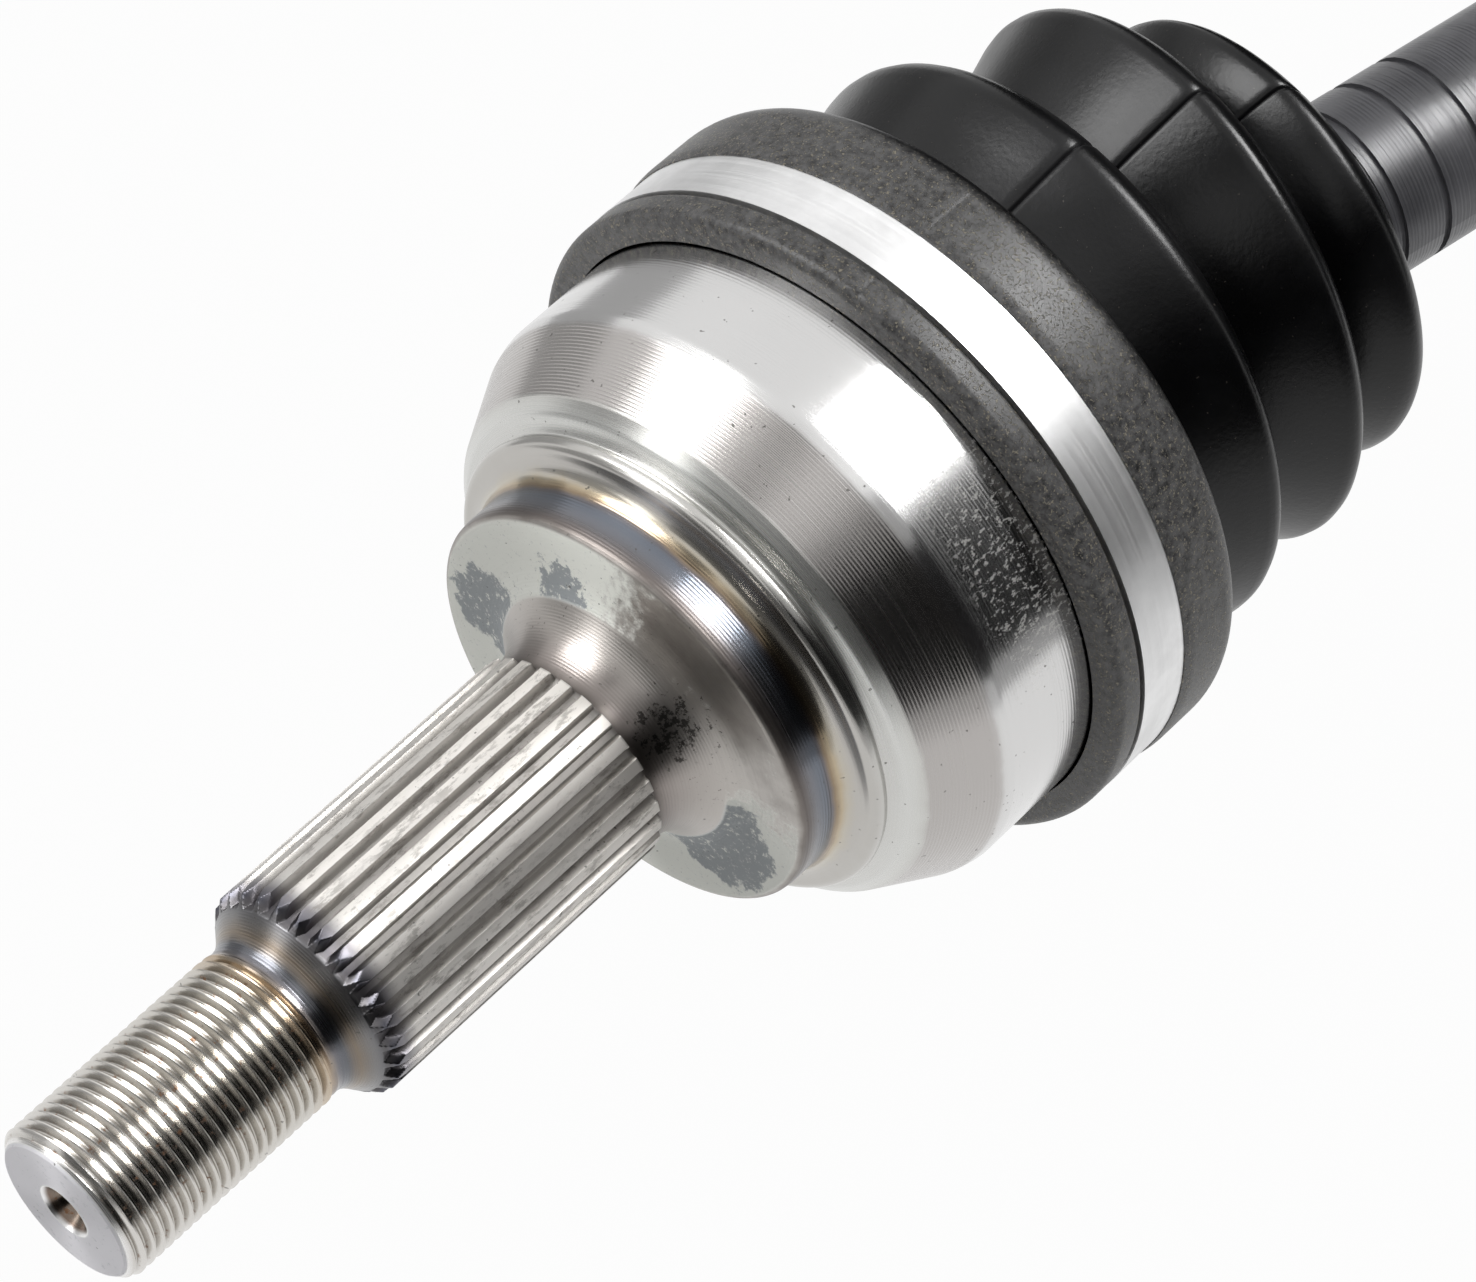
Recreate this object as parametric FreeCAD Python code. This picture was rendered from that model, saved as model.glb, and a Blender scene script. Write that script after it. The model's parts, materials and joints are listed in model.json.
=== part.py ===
"""Front drive shaft: a ball joint at the hub, a bar, and a tripod joint at the gearbox.

The stub of the hub joint lies along Y, with its bearing shoulder at y = 0 and the bar on the +Y side.
The bar is turned by REST_ANGLE about Z at the hub joint's centre, as in the photograph.
Profiles are lists of (radius, station). A step with two points is an arc through the first to the second.
"""
import FreeCAD
import Part
import math
import os

VEC = FreeCAD.Vector
ORIGIN = VEC(0, 0, 0)
AXIS = VEC(0, 1, 0)
UP = VEC(0, 0, 1)

# How the whole shaft lies
REST_ANGLE = 10.6             # bar against stub, towards +X
JOINT_Y = 45.0                # centre of the hub joint
INNER_SPAN = 430.0            # from joint centre to joint centre

# Hub stub
THREAD_R = 11.0               # M22 x 1.5, cut in the look and plain here
THREAD_END = -59.5
STUB_TIP = -93.7
TIP_CHAMFER = 1.5
CENTRE_R = 3.6                # centre drilling, 60 degrees
PILOT_R = 1.6
PILOT_DEPTH = 9.0
HUB_TEETH = 28
HUB_TIP_R = 14.9
HUB_ROOT_R = 13.6
HUB_SPLINE_START = -54.6
SPLINE_LEAD = 8.0             # the tooth cutter's run past the teeth's end
SHOULDER_FILLET = 8.0
SHOULDER_EDGE = 2.0
LAND_R = 29.3                 # seal land
LAND_END = 6.0

# Hub joint, outer race
STEP_R = 34.0
STEP_Y = 8.4
STEP_GROOVE = 0.7
CONE_START_R = 37.8
CONE_START_Y = 12.8
CONE_END_R = 42.4
CONE_END_Y = 21.4
BELL_R = 42.8
BELL_MOUTH = 60.0
MOUTH_CHAMFER = 2.2

# Hub joint, balls and cage
BELL_WALL = 10.2              # over the cage, where the tracks run
CAGE_OUT_R = BELL_R - BELL_WALL
CAGE_WALL = 5.6
CAGE_IN_R = CAGE_OUT_R - CAGE_WALL
BALL_CIRCLE = CAGE_OUT_R - 4.1
TRACK_OFFSET = 3.5            # shift of the track centres along the axis
HALF_ANGLE = 21.0             # cage travel at the end of the range
TRACK_RUNOUT = 20.0           # degrees of track past the ball's own travel
TRACK_CLEAR = 0.25
CAGE_HALF = 12.5
RACE_HALF = 11.5
SPHERE_CLEAR = 0.3
WINDOW_CLEAR = 0.05
WINDOW_SIDE = 0.6
BALL_ANGLES = (30, 90, 150, 210, 270, 330)

# Bar
BAR_TEETH = 24
BAR_TIP_R = 12.0
BAR_ROOT_R = 11.0
BALL_R = (BALL_CIRCLE - BAR_TIP_R) / 2 + 0.48
SPLINE_CLEAR = 0.05
BAR_END = 16.0                # past each joint's centre
COLLAR_R = 13.2
COLLAR_W = 3.0
NECK_R = 11.0
BAR_R = 12.75
NECK_LENGTH = 45.0
GROOVE_DEPTH = 0.6
GROOVE_W = 1.2
BAR_GROOVES = (79.0, 86.5, 94.0)

# Clips
CLIP_W = 1.6
CLIP_RISE = 1.6
CLIP_SINK = 1.0
CLIP_GAP = 5.0                # opening of a clip's ring
CLIP_CLEAR = 0.1

# Hub joint boot
BOOT_WALL = 2.6
BOOT_LIP = 37.4
BAND_START = 42.3
BAND_END = 50.4
BAND_THICK = 1.2
BAND_SEAT_R = BELL_R + 3.2
BOOT_LIP_R = BAND_SEAT_R + BAND_THICK
SHOULDER_R = BAND_SEAT_R + 2.5
SEAT_CLEAR = 0.05
CREST_STATIONS = (33.0, 53.0, 65.0)
CREST_RADII = (41.2, 38.2, 32.0)
VALLEY_STATIONS = (18.5, 38.5, 58.0)
VALLEY_RADII = (37.2, 30.5, 26.4)
CREST_RISE = 5.0              # from a crest's rounding to its top
CREST_DROP = 3.0              # from its top to its steep far side
SMALL_SEAT = 69.5
SMALL_LIP = 76.0
SMALL_LIP_R = BAR_R + 3.6

# Tripod
TRIPOD_R = 22.5
ROLLER_R = 16.5
ROLLER_W = 11.0
TRUNNION_R = 9.5
TRUNNION_RISE = 8.5           # over the roller's mean circle
TRUNNION_END = TRIPOD_R + TRUNNION_RISE
NEEDLE_R = 1.25
NEEDLES = 20
NEEDLE_CLEAR = 0.03
HUB_R = 16.0
SPIDER_HALF = 10.5
SPIDER_ANGLES = (0, 120, 240)

# Tripod housing
RAIL_CLEAR = 0.6
RAIL_GAP = 2.2                # over the trunnion's end
RAIL_BOTTOM = TRUNNION_END + RAIL_GAP
BORE_R = 24.5
HOUSING_WALL = 6.8
HOUSING_R = RAIL_BOTTOM + HOUSING_WALL
SCALLOP_R = 22.0
SCALLOP_RISE = 14.0           # the scallops' centres over the housing's outside
SCALLOP_CENTRE = HOUSING_R + SCALLOP_RISE
MOUTH = 30.0                  # from the spider's centre to the housing's mouth
DEPTH = 39.0
BASE_W = 9.0
NOSE_RUN = 10.0               # from the housing's outside to where its nose starts
HOUSING_LAND_R = 20.0
HOUSING_LAND_W = 16.0
BOX_TEETH = 26
BOX_TIP_R = 14.2
BOX_ROOT_R = 13.0
BOX_SPLINE_W = 40.0
ADAPTER_WALL = 2.5
ADAPTER_R = HOUSING_R + ADAPTER_WALL
ADAPTER_W = 14.0
ADAPTER_CLEAR = 0.1

# Tripod boot
IN_BAND_W = 8.0
IN_FOLDS = 4
IN_FOLD_PITCH = 13.0
IN_FIRST_CREST_R = ADAPTER_R - 1.5
IN_LAST_RISE = 16.0
IN_LAST_CREST_R = BAR_R + IN_LAST_RISE
IN_FOLD_DEPTH = 10.0
IN_CREST_RUN = 6.5            # from a fold's start to its crest
IN_CREST_HALF = 2.0
IN_SMALL_W = 14.0


def outline(start, *steps):
    """A closed face in the XY plane from points (r, y) and arcs ((r, y), (r, y))."""
    edges, here = [], VEC(start[0], start[1], 0)
    for step in steps + (start,):
        if isinstance(step[0], tuple):
            through, there = (VEC(p[0], p[1], 0) for p in step)
            edges.append(Part.Arc(here, through, there).toShape())
        else:
            there = VEC(step[0], step[1], 0)
            if there.isEqual(here, 1e-7):
                continue
            edges.append(Part.makeLine(here, there))
        here = there
    return Part.Face(Part.Wire(edges))


def turned(start, *steps):
    """A solid of revolution about Y."""
    return outline(start, *steps).revolve(ORIGIN, AXIS, 360)


def rod(radius, low, high):
    """A cylinder about Y."""
    return Part.makeCylinder(radius, high - low, VEC(0, low, 0), AXIS)


def tube(inner, outer, low, high):
    """A ring about Y."""
    return turned((inner, low), (outer, low), (outer, high), (inner, high))


def splined(root, tip, teeth, low, high, grow=0.0):
    """A toothed rod about Y; grow widens it on every flank, for the hole that takes it."""
    pitch = 2 * math.pi / teeth
    points = []
    for k in range(teeth):
        for share, radius in ((-0.36, root), (-0.19, tip), (0.19, tip), (0.36, root)):
            angle = (k + share) * pitch
            points.append(VEC((radius + grow) * math.cos(angle), low, (radius + grow) * math.sin(angle)))
    return Part.Face(Part.makePolygon(points + points[:1])).extrude(AXIS * (high - low))


def place(shape, station=0.0):
    """Moves a shape from its own axis to the turned bar, station millimetres from the hub joint."""
    moved = shape.copy()
    moved.translate(VEC(0, station, 0))
    moved.rotate(ORIGIN, UP, -REST_ANGLE)
    moved.translate(VEC(0, JOINT_Y, 0))
    return moved


def clip(seat, low):
    """An open retaining ring about Y that sits in its groove."""
    ring = tube(seat - CLIP_SINK + CLIP_CLEAR, seat + CLIP_RISE, low + CLIP_CLEAR, low + CLIP_W)
    gap = Part.makeBox(2 * seat, 2 * CLIP_W, CLIP_GAP, VEC(0, low - CLIP_W / 2, -CLIP_GAP / 2))
    return ring.cut(gap)


def clip_groove(seat, low):
    """The groove that takes a clip."""
    return tube(seat - CLIP_SINK, seat + CLIP_RISE, low, low + CLIP_W + CLIP_CLEAR)


def ball_place(angle, half, side):
    """Ball centre from the joint's centre; side is 1 as the outer race sees it and -1 for the inner race."""
    turn = math.radians(half)
    out = VEC(math.cos(math.radians(angle)), 0, math.sin(math.radians(angle)))
    if abs(out.x) < 1e-6:
        reach = BALL_CIRCLE + TRACK_OFFSET * turn
        return out * (reach * math.cos(turn)) + AXIS * (side * reach * math.sin(turn))
    spot = out * (BALL_CIRCLE + TRACK_OFFSET * turn * out.x)
    return FreeCAD.Rotation(UP, side * half).multVec(spot)


def track(angle, side):
    """The groove that a ball cuts in a race over its travel and some way past it."""
    spots = [ball_place(angle, half, side) for half in (-HALF_ANGLE, 0, HALF_ANGLE)]
    arc = Part.Arc(*spots).toShape()
    centre, normal = arc.Curve.Center, arc.Curve.Axis
    spoke = FreeCAD.Rotation(normal, -TRACK_RUNOUT).multVec(spots[0] - centre)
    ring = Part.makeCircle(BALL_R + TRACK_CLEAR, centre + spoke, normal.cross(spoke))
    travel = math.degrees(arc.LastParameter - arc.FirstParameter)
    return Part.Face(Part.Wire(ring)).revolve(centre, normal, travel + 2 * TRACK_RUNOUT)


def outer_race():
    """Stub, shoulder and bell in one forging."""
    flute = HUB_TIP_R + SHOULDER_FILLET
    diagonal = SHOULDER_FILLET * (1 - math.sqrt(0.5))
    edge = SHOULDER_EDGE * (1 - math.sqrt(0.5))
    body = turned(
        (0, STUB_TIP + PILOT_DEPTH), (PILOT_R, STUB_TIP + PILOT_DEPTH - PILOT_R),
        (PILOT_R, STUB_TIP + (CENTRE_R - PILOT_R) * math.sqrt(3)), (CENTRE_R, STUB_TIP),
        (THREAD_R - TIP_CHAMFER, STUB_TIP), (THREAD_R, STUB_TIP + TIP_CHAMFER), (THREAD_R, THREAD_END),
        ((THREAD_R + 0.9, THREAD_END + 2.8), (HUB_TIP_R - 0.3, HUB_SPLINE_START)),
        (HUB_TIP_R, HUB_SPLINE_START + 0.6), (HUB_TIP_R, -SHOULDER_FILLET),
        ((HUB_TIP_R + diagonal, -diagonal), (flute, 0)), (LAND_R - SHOULDER_EDGE, 0),
        ((LAND_R - edge, edge), (LAND_R, SHOULDER_EDGE)), (LAND_R, LAND_END),
        ((LAND_R + 0.9, LAND_END + 1.6), (STEP_R - 1, STEP_Y - 0.4)), (STEP_R, STEP_Y),
        (STEP_R, STEP_Y + 1), (STEP_R - STEP_GROOVE, STEP_Y + 1 + STEP_GROOVE), (STEP_R, STEP_Y + 2.4),
        (CONE_START_R, CONE_START_Y), (CONE_END_R, CONE_END_Y), (BELL_R, CONE_END_Y + 1.5),
        (BELL_R, BELL_MOUTH - 1), (BELL_R - 1, BELL_MOUTH), (0, BELL_MOUTH))
    lead = HUB_SPLINE_START - SPLINE_LEAD
    blank = tube(HUB_ROOT_R - 4, 2 * HUB_TIP_R, lead, -SHOULDER_FILLET)
    body = body.cut(blank.cut(splined(HUB_ROOT_R, HUB_TIP_R + 1, HUB_TEETH, lead - 1, 0))
                    .common(tube(HUB_ROOT_R, 2 * HUB_TIP_R, lead, 0)))
    sphere_r = CAGE_OUT_R + SPHERE_CLEAR
    cavity = Part.makeSphere(sphere_r, VEC(0, JOINT_Y, 0))
    mouth_r = math.sqrt(sphere_r ** 2 - (BELL_MOUTH - JOINT_Y) ** 2) + MOUTH_CHAMFER
    flare = Part.makeCone(mouth_r - 2 * MOUTH_CHAMFER, mouth_r, 2 * MOUTH_CHAMFER,
                          VEC(0, BELL_MOUTH - 2 * MOUTH_CHAMFER, 0), AXIS)
    body = body.cut(cavity).cut(flare)
    for angle in BALL_ANGLES:
        groove = track(angle, 1)
        groove.translate(VEC(0, JOINT_Y, 0))
        body = body.cut(groove)
    return body


def inner_race():
    """Ball race on the bar's end, about the joint's centre."""
    body = Part.makeSphere(CAGE_IN_R - SPHERE_CLEAR).common(rod(CAGE_IN_R, -RACE_HALF, RACE_HALF))
    body = body.cut(splined(BAR_ROOT_R, BAR_TIP_R, BAR_TEETH, -CAGE_IN_R, CAGE_IN_R, SPLINE_CLEAR))
    for angle in BALL_ANGLES:
        body = body.cut(track(angle, -1))
    return body


def cage():
    """Spherical ring with six windows, turned half as far as the bar."""
    body = Part.makeSphere(CAGE_OUT_R).cut(Part.makeSphere(CAGE_IN_R))
    body = body.common(rod(CAGE_OUT_R + 1, -CAGE_HALF, CAGE_HALF))
    high, wide = BALL_R + WINDOW_CLEAR, BALL_R + WINDOW_SIDE
    for angle in BALL_ANGLES:
        window = Part.makeBox(CAGE_OUT_R, 2 * high, 2 * wide, VEC(CAGE_IN_R / 2, -high, -wide))
        window.rotate(ORIGIN, AXIS, -angle)
        body = body.cut(window)
    body.rotate(ORIGIN, UP, -REST_ANGLE / 2)
    body.translate(VEC(0, JOINT_Y, 0))
    return body


def ball(angle):
    """One ball at its rest place."""
    spot = ball_place(angle, -REST_ANGLE / 2, 1) if angle not in (90, 270) else ball_place(angle, 0, 1)
    return Part.makeSphere(BALL_R, spot + VEC(0, JOINT_Y, 0))


def bar():
    """Bar with a spline, a collar and a clip groove at each end."""
    far = INNER_SPAN
    slope = BAR_R - NECK_R
    body = turned(
        (0, -BAR_END), (BAR_TIP_R - 1, -BAR_END), (BAR_TIP_R, 1 - BAR_END), (BAR_TIP_R, RACE_HALF),
        (COLLAR_R, RACE_HALF), (COLLAR_R, RACE_HALF + COLLAR_W), (NECK_R, RACE_HALF + COLLAR_W + 2),
        (NECK_R, NECK_LENGTH), (BAR_R, NECK_LENGTH + 5 * slope),
        (BAR_R, far - 2 * NECK_LENGTH - 5 * slope), (NECK_R, far - 2 * NECK_LENGTH),
        (NECK_R, far - SPIDER_HALF - COLLAR_W - 2), (COLLAR_R, far - SPIDER_HALF - COLLAR_W),
        (COLLAR_R, far - SPIDER_HALF), (BAR_TIP_R, far - SPIDER_HALF), (BAR_TIP_R, far + BAR_END - 1),
        (BAR_TIP_R - 1, far + BAR_END), (0, far + BAR_END))
    for low, high in ((-BAR_END - 1, RACE_HALF), (far - SPIDER_HALF, far + BAR_END + 1)):
        keep = splined(BAR_ROOT_R, BAR_TIP_R, BAR_TEETH, low, high)
        body = body.cut(tube(BAR_ROOT_R - 3, COLLAR_R, low, high).cut(keep))
    for station in BAR_GROOVES:
        body = body.cut(tube(BAR_R - GROOVE_DEPTH, BAR_R + 1, station, station + GROOVE_W))
    body = body.cut(clip_groove(BAR_TIP_R, -RACE_HALF - CLIP_W - CLIP_CLEAR))
    return body.cut(clip_groove(BAR_TIP_R, far + SPIDER_HALF))


def outer_boot():
    """Bellows from the bell to the bar, on an axis that bends between the two."""
    collar = turned(
        (BELL_R + SEAT_CLEAR, BOOT_LIP), (BOOT_LIP_R - 1.5, BOOT_LIP),
        ((BOOT_LIP_R - 0.4, BOOT_LIP + 0.4), (BOOT_LIP_R, BOOT_LIP + 1.5)), (BOOT_LIP_R, BAND_START - 1),
        (BAND_SEAT_R, BAND_START - SEAT_CLEAR), (BAND_SEAT_R, BAND_END + SEAT_CLEAR),
        (SHOULDER_R, BAND_END + 1),
        (SHOULDER_R, BELL_MOUTH - 1.5), (SHOULDER_R - 1.5, BELL_MOUTH), (BELL_R + SEAT_CLEAR, BELL_MOUTH))
    rings = [(BELL_MOUTH - JOINT_Y, SHOULDER_R - 1.5, 0.0)]
    for k, (station, crest) in enumerate(zip(CREST_STATIONS, CREST_RADII)):
        bend = (k + 1) / len(CREST_STATIONS)
        rings.append((VALLEY_STATIONS[k], VALLEY_RADII[k], bend - 0.2))
        rings.append((station - CREST_RISE, crest - 1.6, bend - 0.04))
        rings.append((station, crest, bend))
        rings.append((station + CREST_DROP / 2, crest - 0.7, bend))
        rings.append((station + CREST_DROP, crest - 3.5, bend))
    rings.append((SMALL_SEAT, BAR_R + BOOT_WALL, 1.0))
    skins = []
    for wall in (0.0, BOOT_WALL):
        loops = []
        for station, radius, bend in rings:
            turn = FreeCAD.Rotation(UP, -REST_ANGLE * bend)
            centre = VEC(0, JOINT_Y, 0) + turn.multVec(AXIS * station)
            loops.append(Part.Wire(Part.makeCircle(radius - wall, centre, turn.multVec(AXIS))))
        skins.append(Part.makeLoft(loops, True, True))
    bellows = skins[0].cut(skins[1])
    neck = turned(
        (BAR_R + SEAT_CLEAR, SMALL_SEAT), (BAR_R + BOOT_WALL, SMALL_SEAT),
        (BAR_R + BOOT_WALL, SMALL_LIP - 2), (SMALL_LIP_R, SMALL_LIP - 1.5), (SMALL_LIP_R, SMALL_LIP),
        (BAR_R + SEAT_CLEAR, SMALL_LIP))
    return collar.fuse(bellows).fuse(place(neck)).removeSplitter()


def band(inner, low, high):
    """A worm-free clamp band about Y: a flat ring with the closed ear of a crimped clamp."""
    ring = tube(inner, inner + BAND_THICK, low, high)
    ear = Part.makeBox(2.4, high - low - 2, 5, VEC(-1.2, low + 1, -inner - BAND_THICK - 2.2))
    ear = ear.makeFillet(1.0, [e for e in ear.Edges if abs(e.tangentAt(e.FirstParameter).y) > 0.9])
    return ring.fuse(ear.cut(rod(inner + 0.2, low, high))).removeSplitter()


def housing():
    """Tripod housing with three rails, a seal land and a splined stub; the spider's centre is at y = 0."""
    base = DEPTH + BASE_W
    land = base + HOUSING_LAND_W
    body = turned(
        (0, -MOUTH), (HOUSING_R - 1, -MOUTH), (HOUSING_R, 1 - MOUTH), (HOUSING_R, DEPTH - 4),
        ((HOUSING_R - 3, DEPTH + 3), (HOUSING_R - NOSE_RUN, base - 2)), (HOUSING_LAND_R + 3, base),
        (HOUSING_LAND_R, base + 2), (HOUSING_LAND_R, land), (BOX_TIP_R + 1.5, land + 2),
        (BOX_TIP_R + 1.5, land + 4), (BOX_TIP_R, land + 5.5), (BOX_TIP_R, land + BOX_SPLINE_W),
        (BOX_TIP_R - 2, land + BOX_SPLINE_W + 2), (0, land + BOX_SPLINE_W + 2))
    teeth = splined(BOX_ROOT_R, BOX_TIP_R + 1, BOX_TEETH, land, land + BOX_SPLINE_W + 3)
    body = body.cut(tube(BOX_ROOT_R, BOX_TIP_R + 1, land + 6, land + BOX_SPLINE_W + 3).cut(teeth))
    body = body.cut(clip_groove(BOX_TIP_R, land + BOX_SPLINE_W - 5))
    body = body.cut(rod(BORE_R, -MOUTH - 1, DEPTH))
    mouth = Part.makeCone(BORE_R + 3, BORE_R, 3, VEC(0, -MOUTH, 0), AXIS)
    body = body.cut(mouth)
    for angle in SPIDER_ANGLES:
        spin = FreeCAD.Rotation(AXIS, angle)
        rail = Part.makeCylinder(ROLLER_R + RAIL_CLEAR, MOUTH + DEPTH + 1,
                                 VEC(0, -MOUTH - 1, TRIPOD_R), AXIS)
        rail = rail.common(Part.makeBox(2 * HOUSING_R, 3 * HOUSING_R, RAIL_BOTTOM,
                                        VEC(-HOUSING_R, -1.5 * HOUSING_R, 0)))
        scallop = Part.makeCylinder(SCALLOP_R, MOUTH + DEPTH - 2, VEC(0, -MOUTH - 1, -SCALLOP_CENTRE), AXIS)
        for tool in (rail, scallop):
            tool.Placement = FreeCAD.Placement(ORIGIN, spin).multiply(tool.Placement)
            body = body.cut(tool)
    return body


def adapter():
    """Round ring with a three-lobed hole, between the housing and its boot."""
    body = rod(ADAPTER_R, -MOUTH + 1, -MOUTH + 1 + ADAPTER_W)
    core = rod(HOUSING_R + ADAPTER_CLEAR, -MOUTH, ADAPTER_W)
    for angle in SPIDER_ANGLES:
        lobe = Part.makeCylinder(SCALLOP_R - ADAPTER_CLEAR, 2 * MOUTH,
                                 VEC(0, -MOUTH - 1, -SCALLOP_CENTRE), AXIS)
        lobe.rotate(ORIGIN, AXIS, angle)
        core = core.cut(lobe)
    return body.cut(core)


def spider():
    """Hub with three trunnions."""
    body = turned((0, -SPIDER_HALF), (HUB_R - 1, -SPIDER_HALF), (HUB_R, 1 - SPIDER_HALF),
                  (HUB_R, SPIDER_HALF - 1), (HUB_R - 1, SPIDER_HALF), (0, SPIDER_HALF))
    clip_low = TRIPOD_R + ROLLER_W / 2 + 0.3
    for angle in SPIDER_ANGLES:
        pin = rod(TRUNNION_R, 0, TRUNNION_END).cut(clip_groove(TRUNNION_R, clip_low))
        pin.rotate(ORIGIN, VEC(1, 0, 0), 90)
        pin.rotate(ORIGIN, AXIS, angle)
        body = body.fuse(pin)
    return body.cut(splined(BAR_ROOT_R, BAR_TIP_R, BAR_TEETH, -HUB_R, HUB_R, SPLINE_CLEAR))


def on_trunnion(shape, angle):
    """Turns a piece made about Y onto a trunnion."""
    shape.rotate(ORIGIN, VEC(1, 0, 0), 90)
    shape.rotate(ORIGIN, AXIS, angle)
    return place(shape, INNER_SPAN)


def roller():
    """Roller ring with a spherical face, about Y at its trunnion station."""
    bore = TRUNNION_R + 2 * NEEDLE_R + 2 * NEEDLE_CLEAR
    ring = Part.makeSphere(ROLLER_R, VEC(0, TRIPOD_R, 0))
    return ring.common(tube(bore, 2 * ROLLER_R, TRIPOD_R - ROLLER_W / 2, TRIPOD_R + ROLLER_W / 2))


def needles():
    """Needles between a trunnion and its roller."""
    low, high = TRIPOD_R - ROLLER_W / 2 + 0.3, TRIPOD_R + ROLLER_W / 2 - 0.3
    spread = TRUNNION_R + NEEDLE_CLEAR + NEEDLE_R
    pins = []
    for k in range(NEEDLES):
        angle = 2 * math.pi * k / NEEDLES
        spot = VEC(spread * math.cos(angle), low, spread * math.sin(angle))
        pins.append(Part.makeCylinder(NEEDLE_R, high - low, spot, AXIS))
    return Part.makeCompound(pins)


def inner_boot():
    """Bellows from the adapter to the bar, straight at rest; the spider's centre is at y = 0."""
    lip, mouth = -MOUTH + 1 + ADAPTER_W + 1, -MOUTH - 2
    seat = ADAPTER_R + SEAT_CLEAR
    outer = seat + BOOT_WALL
    steps = [(seat, lip), (outer + 1, lip), (outer + 1, lip - 2), (outer, lip - 3),
             (outer, lip - 3 - IN_BAND_W), (outer + 1, lip - 4 - IN_BAND_W), (outer + 1, mouth + 1),
             (outer - 1, mouth - 1)]
    inside = [(seat, mouth + 2), (seat - 4, mouth)]
    for k in range(IN_FOLDS):
        share = k / (IN_FOLDS - 1)
        crest = IN_FIRST_CREST_R + (IN_LAST_CREST_R - IN_FIRST_CREST_R) * share
        valley = crest - IN_FOLD_DEPTH + 3
        top = mouth - 4 - IN_FOLD_PITCH * k
        peak = top - IN_CREST_RUN
        for radius, station in ((valley, top), (crest - 1, peak + IN_CREST_HALF), (crest, peak),
                                (crest - 1, peak - IN_CREST_HALF)):
            steps.append((radius, station))
            inside.append((radius - BOOT_WALL, station))
    end = mouth - 4 - IN_FOLD_PITCH * IN_FOLDS
    steps += [(BAR_R + BOOT_WALL, end), (BAR_R + BOOT_WALL, end - IN_SMALL_W + 2),
              (BAR_R + BOOT_WALL + 1, end - IN_SMALL_W + 1), (BAR_R + BOOT_WALL + 1, end - IN_SMALL_W),
              (BAR_R + SEAT_CLEAR, end - IN_SMALL_W)]
    inside.append((BAR_R + SEAT_CLEAR, end + 2))
    return turned(*steps, *reversed(inside)), lip - 3 - IN_BAND_W, end - IN_SMALL_W + 3


def pieces():
    """Every node's name with its shape in the shared frame."""
    shapes = {"outer_race": outer_race(), "outer_cage": cage(), "outer_boot": outer_boot()}
    shapes["outer_large_clamp"] = band(BAND_SEAT_R + SEAT_CLEAR, BAND_START, BAND_END)
    for k, angle in enumerate(BALL_ANGLES, 1):
        shapes["ball_%d" % k] = ball(angle)
    shapes["bar"] = place(bar())
    shapes["outer_inner_race"] = place(inner_race())
    shapes["race_clip"] = place(clip(BAR_TIP_R, -RACE_HALF - CLIP_W - CLIP_CLEAR))
    seat = BAR_R + BOOT_WALL + SEAT_CLEAR
    shapes["outer_small_clamp"] = place(band(seat, SMALL_SEAT + 0.2, SMALL_LIP - 2.2))
    shapes["spider"] = place(spider(), INNER_SPAN)
    shapes["spider_clip"] = place(clip(BAR_TIP_R, SPIDER_HALF), INNER_SPAN)
    for k, angle in enumerate(SPIDER_ANGLES, 1):
        shapes["roller_%d" % k] = on_trunnion(roller(), angle)
        shapes["needles_%d" % k] = on_trunnion(needles(), angle)
        shapes["trunnion_clip_%d" % k] = on_trunnion(clip(TRUNNION_R, TRIPOD_R + ROLLER_W / 2 + 0.3), angle)
    shapes["inner_housing"] = place(housing(), INNER_SPAN)
    shapes["boot_adapter"] = place(adapter(), INNER_SPAN)
    stub_clip = DEPTH + BASE_W + HOUSING_LAND_W + BOX_SPLINE_W - 5
    shapes["stub_clip"] = place(clip(BOX_TIP_R, stub_clip), INNER_SPAN)
    boot, large, small = inner_boot()
    shapes["inner_boot"] = place(boot, INNER_SPAN)
    outer = ADAPTER_R + BOOT_WALL + 2 * SEAT_CLEAR
    edges = (large + SEAT_CLEAR, large + IN_BAND_W - SEAT_CLEAR)
    shapes["inner_large_clamp"] = place(band(outer, *edges), INNER_SPAN)
    shapes["inner_small_clamp"] = place(band(seat, small, small + IN_BAND_W - 2), INNER_SPAN)
    return shapes


os.makedirs("parts", exist_ok=True)
for node, shape in pieces().items():
    shape.exportStep("parts/%s.step" % node)
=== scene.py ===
"""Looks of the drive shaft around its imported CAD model.

Lengths are in millimetres until a mesh is made. The hub stub lies along Y with its shoulder at y = 0, and the bar is
turned about Z at the hub joint's centre. A profile is a list of (radius, station) pairs.
"""
import json
import math

import bmesh
import bpy
from mathutils import Matrix, Vector


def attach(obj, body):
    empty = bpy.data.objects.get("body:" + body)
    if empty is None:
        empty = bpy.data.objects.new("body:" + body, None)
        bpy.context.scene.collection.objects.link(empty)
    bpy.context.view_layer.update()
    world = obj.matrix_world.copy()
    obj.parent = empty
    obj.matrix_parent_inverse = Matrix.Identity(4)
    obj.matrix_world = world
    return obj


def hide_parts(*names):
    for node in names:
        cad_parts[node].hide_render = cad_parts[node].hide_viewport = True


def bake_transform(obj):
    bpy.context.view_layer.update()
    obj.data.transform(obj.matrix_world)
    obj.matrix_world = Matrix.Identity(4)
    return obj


MM = 0.001
REST = math.radians(10.6)          # bar against stub
JOINT_Y = 45.0
SPAN = 430.0                       # between the joints' centres

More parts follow.
